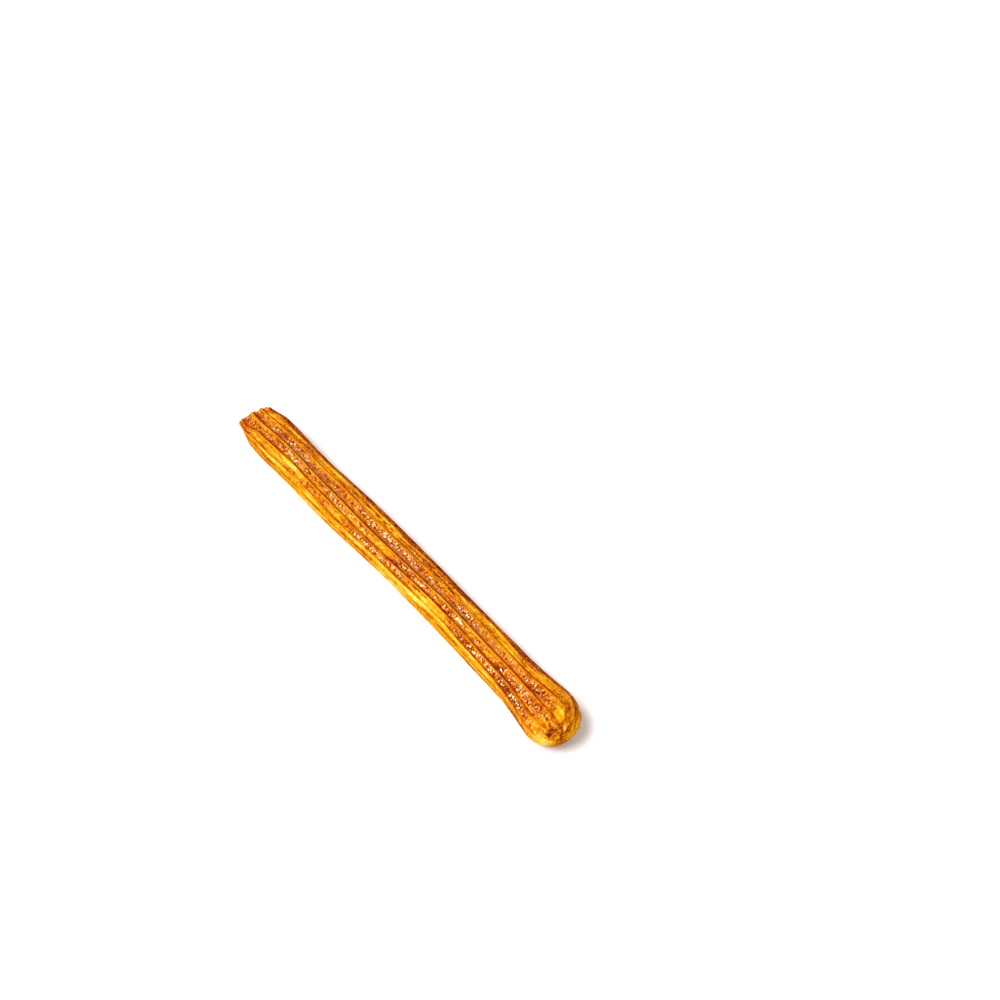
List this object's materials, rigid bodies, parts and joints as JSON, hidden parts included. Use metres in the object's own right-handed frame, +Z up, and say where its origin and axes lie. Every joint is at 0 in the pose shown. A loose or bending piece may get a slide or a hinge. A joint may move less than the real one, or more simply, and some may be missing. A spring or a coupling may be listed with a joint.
{
  "type": "churro",
  "caption": "Straight baked churro stick with lengthwise star-piped flutes, a rounded bulb end, a scalloped cut end and a flat underside.",
  "frame": {"origin": "bottom centre of the bounding box, on the surface that the stick rests on", "axes": "+X along the stick from the cut end to the round end, +Z up"},
  "size_m": [0.25, 0.0278, 0.0268],
  "materials": {
    "crust": "egg-washed baked choux crust: glossy golden brown, pebbled, with yellow stretched places"
  },
  "bodies": {
    "root": {"churro": "crust"}
  },
  "joints": []
}
